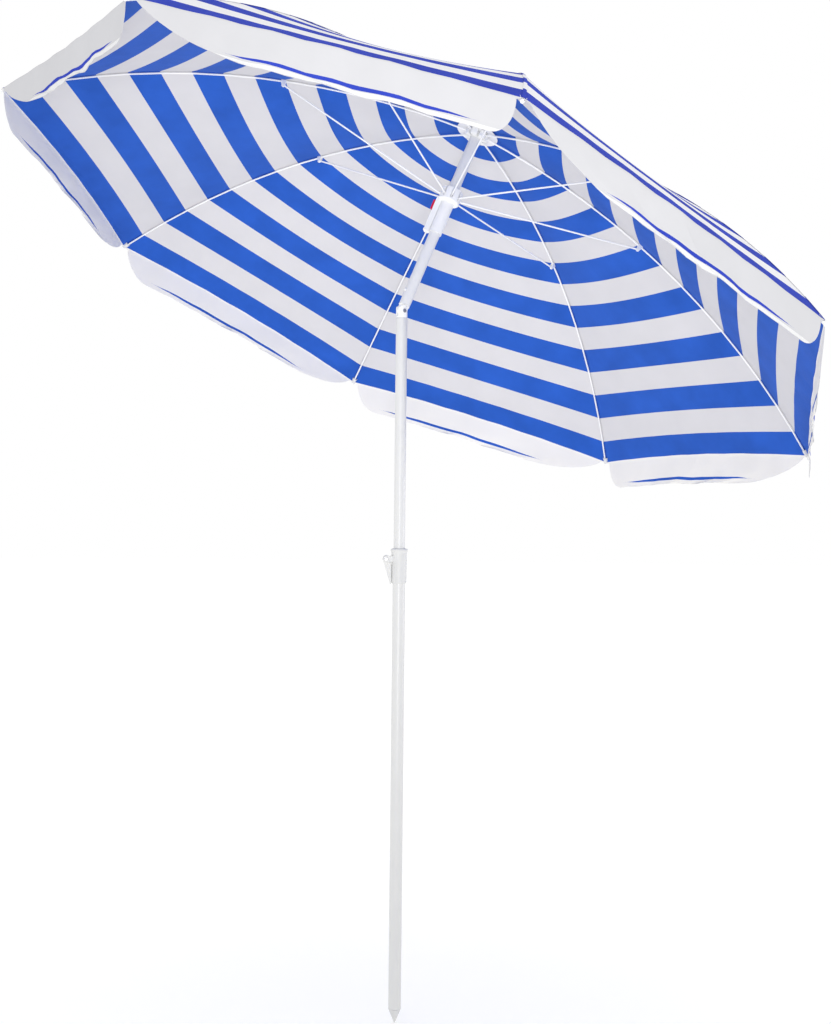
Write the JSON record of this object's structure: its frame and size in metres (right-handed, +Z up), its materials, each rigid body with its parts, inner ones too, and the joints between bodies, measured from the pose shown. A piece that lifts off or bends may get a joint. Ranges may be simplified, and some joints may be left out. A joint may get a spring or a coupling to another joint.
{
  "type": "beach_umbrella",
  "caption": "Tilting beach umbrella with a striped round canopy, valance, folding rib frame, tilt joint, height clamp and a two-part white pole with a ground spike",
  "frame": {"origin": "Point of the ground spike, on the axis of the pole", "axes": "+Z up along the lower pole; the canopy leans toward +Y; +X completes the frame and is the tilt axis"},
  "size_m": [1.61, 1.4596, 1.8472],
  "materials": {
    "pole_paint": "white powder-coated steel tube",
    "white_plastic": "white moulded plastic",
    "red_plastic": "red moulded plastic",
    "steel": "zinc-plated steel",
    "rib_paint": "white powder-coated steel wire",
    "striped_fabric": "woven polyester with blue and white stripes",
    "white_fabric": "white woven polyester"
  },
  "bodies": {
    "ground_pole": {"ground_spike": "white_plastic", "lower_pole": "pole_paint", "clamp_collar": "white_plastic", "clamp_pin": "steel", "clamp_pad": "white_plastic"},
    "lever": {"clamp_lever": "white_plastic"},
    "mast": {"middle_pole": "pole_paint", "glide_bush": "white_plastic", "tilt_fork": "white_plastic", "tilt_pin": "steel"},
    "head": {"tilt_tongue": "white_plastic", "upper_pole": "pole_paint", "hub_crown": "white_plastic", "hub_ring_wire": "steel", "pole_top_plug": "white_plastic", "top_cap": "white_plastic", "apex_patch": "white_fabric", "runner_stop_pin": "steel", "snap_button_spring": "steel", "canopy_panel_1": "striped_fabric", "canopy_panel_2": "striped_fabric", "canopy_panel_3": "striped_fabric", "canopy_panel_4": "striped_fabric", "canopy_panel_5": "striped_fabric", "canopy_panel_6": "striped_fabric", "canopy_panel_7": "striped_fabric", "canopy_panel_8": "striped_fabric"},
    "snap": {"snap_button": "white_plastic"},
    "runner": {"runner": "white_plastic", "runner_ring_wire": "steel", "runner_button_spring": "steel"},
    "catch": {"runner_button": "red_plastic"},
    "rib_1": {"rib_1": "rib_paint", "rib_tip_1": "white_plastic"},
    "rib_2": {"rib_2": "rib_paint", "rib_tip_2": "white_plastic"},
    "rib_3": {"rib_3": "rib_paint", "rib_tip_3": "white_plastic"},
    "rib_4": {"rib_4": "rib_paint", "rib_tip_4": "white_plastic"},
    "rib_5": {"rib_5": "rib_paint", "rib_tip_5": "white_plastic"},
    "rib_6": {"rib_6": "rib_paint", "rib_tip_6": "white_plastic"},
    "rib_7": {"rib_7": "rib_paint", "rib_tip_7": "white_plastic"},
    "rib_8": {"rib_8": "rib_paint", "rib_tip_8": "white_plastic"},
    "stretcher_1": {"stretcher_1": "rib_paint"},
    "stretcher_2": {"stretcher_2": "rib_paint"},
    "stretcher_3": {"stretcher_3": "rib_paint"},
    "stretcher_4": {"stretcher_4": "rib_paint"},
    "stretcher_5": {"stretcher_5": "rib_paint"},
    "stretcher_6": {"stretcher_6": "rib_paint"},
    "stretcher_7": {"stretcher_7": "rib_paint"},
    "stretcher_8": {"stretcher_8": "rib_paint"}
  },
  "joints": [
    {"name": "height_slide", "type": "slide", "parent": "ground_pole", "child": "mast", "axis": [0, 0, 1], "range_m": [-0.43, 0.2]},
    {"name": "clamp_lever", "type": "hinge", "parent": "ground_pole", "child": "lever", "pos_m": [-0.01284, -0.02145, 0.902], "axis": [-0.8581, 0.5135, 0], "range_deg": [0, 110]},
    {"name": "tilt", "type": "hinge", "parent": "mast", "child": "head", "pos_m": [0, 0, 1.384], "axis": [1, 0, 0], "range_deg": [0, 25]},
    {"name": "snap_button", "type": "slide", "parent": "head", "child": "snap", "axis": [0, 0.9063, -0.4226], "range_m": [0, 0.002], "stiffness_N_per_m": 900, "springref_m": -0.0006, "deforming": ["snap_button_spring"]},
    {"name": "runner_slide", "type": "slide", "parent": "head", "child": "runner", "axis": [0, -0.4226, -0.9063], "range_m": [0, 0.12], "deforming": ["canopy_panel_1", "canopy_panel_2", "canopy_panel_3", "canopy_panel_4", "canopy_panel_5", "canopy_panel_6", "canopy_panel_7", "canopy_panel_8"]},
    {"name": "runner_button", "type": "slide", "parent": "runner", "child": "catch", "axis": [0.7071, 0.6409, -0.2988], "range_m": [0, 0.0025], "stiffness_N_per_m": 700, "springref_m": -0.0006, "deforming": ["runner_button_spring"]},
    {"name": "rib_1_fold", "type": "hinge", "parent": "head", "child": "rib_1", "pos_m": [0.01524, 0.17561, 1.74567], "axis": [-0.3827, 0.8373, -0.3904], "range_deg": [0, 9.19]},
    {"name": "rib_2_fold", "type": "hinge", "parent": "head", "child": "rib_2", "pos_m": [0.00631, 0.18371, 1.74189], "axis": [-0.9239, 0.3468, -0.1617], "range_deg": [0, 9.19]},
    {"name": "rib_3_fold", "type": "hinge", "parent": "head", "child": "rib_3", "pos_m": [-0.00631, 0.18371, 1.74189], "axis": [-0.9239, -0.3468, 0.1617], "range_deg": [0, 9.19]},
    {"name": "rib_4_fold", "type": "hinge", "parent": "head", "child": "rib_4", "pos_m": [-0.01524, 0.17561, 1.74567], "axis": [-0.3827, -0.8373, 0.3904], "range_deg": [0, 9.19]},
    {"name": "rib_5_fold", "type": "hinge", "parent": "head", "child": "rib_5", "pos_m": [-0.01524, 0.16417, 1.751], "axis": [0.3827, -0.8373, 0.3904], "range_deg": [0, 9.19]},
    {"name": "rib_6_fold", "type": "hinge", "parent": "head", "child": "rib_6", "pos_m": [-0.00631, 0.15608, 1.75478], "axis": [0.9239, -0.3468, 0.1617], "range_deg": [0, 9.19]},
    {"name": "rib_7_fold", "type": "hinge", "parent": "head", "child": "rib_7", "pos_m": [0.00631, 0.15608, 1.75478], "axis": [0.9239, 0.3468, -0.1617], "range_deg": [0, 9.19]},
    {"name": "rib_8_fold", "type": "hinge", "parent": "head", "child": "rib_8", "pos_m": [0.01524, 0.16417, 1.751], "axis": [0.3827, 0.8373, -0.3904], "range_deg": [0, 9.19]},
    {"name": "stretcher_1_fold", "type": "hinge", "parent": "runner", "child": "stretcher_1", "pos_m": [0.01524, 0.11349, 1.61244], "axis": [-0.3827, 0.8373, -0.3904], "range_deg": [-9.76, 0]},
    {"name": "stretcher_2_fold", "type": "hinge", "parent": "runner", "child": "stretcher_2", "pos_m": [0.00631, 0.12158, 1.60867], "axis": [-0.9239, 0.3468, -0.1617], "range_deg": [-9.76, 0]},
    {"name": "stretcher_3_fold", "type": "hinge", "parent": "runner", "child": "stretcher_3", "pos_m": [-0.00631, 0.12158, 1.60867], "axis": [-0.9239, -0.3468, 0.1617], "range_deg": [-9.76, 0]},
    {"name": "stretcher_4_fold", "type": "hinge", "parent": "runner", "child": "stretcher_4", "pos_m": [-0.01524, 0.11349, 1.61244], "axis": [-0.3827, -0.8373, 0.3904], "range_deg": [-9.76, 0]},
    {"name": "stretcher_5_fold", "type": "hinge", "parent": "runner", "child": "stretcher_5", "pos_m": [-0.01524, 0.10204, 1.61778], "axis": [0.3827, -0.8373, 0.3904], "range_deg": [-9.76, 0]},
    {"name": "stretcher_6_fold", "type": "hinge", "parent": "runner", "child": "stretcher_6", "pos_m": [-0.00631, 0.09395, 1.62155], "axis": [0.9239, -0.3468, 0.1617], "range_deg": [-9.76, 0]},
    {"name": "stretcher_7_fold", "type": "hinge", "parent": "runner", "child": "stretcher_7", "pos_m": [0.00631, 0.09395, 1.62155], "axis": [0.9239, 0.3468, -0.1617], "range_deg": [-9.76, 0]},
    {"name": "stretcher_8_fold", "type": "hinge", "parent": "runner", "child": "stretcher_8", "pos_m": [0.01524, 0.10204, 1.61778], "axis": [0.3827, 0.8373, -0.3904], "range_deg": [-9.76, 0]}
  ],
  "couplings": [
    {"joint": "rib_1_fold", "follows": "runner_slide", "rad_per_m": 1.3333},
    {"joint": "rib_2_fold", "follows": "runner_slide", "rad_per_m": 1.3333},
    {"joint": "rib_3_fold", "follows": "runner_slide", "rad_per_m": 1.3333},
    {"joint": "rib_4_fold", "follows": "runner_slide", "rad_per_m": 1.3333},
    {"joint": "rib_5_fold", "follows": "runner_slide", "rad_per_m": 1.3333},
    {"joint": "rib_6_fold", "follows": "runner_slide", "rad_per_m": 1.3333},
    {"joint": "rib_7_fold", "follows": "runner_slide", "rad_per_m": 1.3333},
    {"joint": "rib_8_fold", "follows": "runner_slide", "rad_per_m": 1.3333},
    {"joint": "stretcher_1_fold", "follows": "runner_slide", "rad_per_m": -1.4161},
    {"joint": "stretcher_2_fold", "follows": "runner_slide", "rad_per_m": -1.4161},
    {"joint": "stretcher_3_fold", "follows": "runner_slide", "rad_per_m": -1.4161},
    {"joint": "stretcher_4_fold", "follows": "runner_slide", "rad_per_m": -1.4161},
    {"joint": "stretcher_5_fold", "follows": "runner_slide", "rad_per_m": -1.4161},
    {"joint": "stretcher_6_fold", "follows": "runner_slide", "rad_per_m": -1.4161},
    {"joint": "stretcher_7_fold", "follows": "runner_slide", "rad_per_m": -1.4161},
    {"joint": "stretcher_8_fold", "follows": "runner_slide", "rad_per_m": -1.4161}
  ]
}
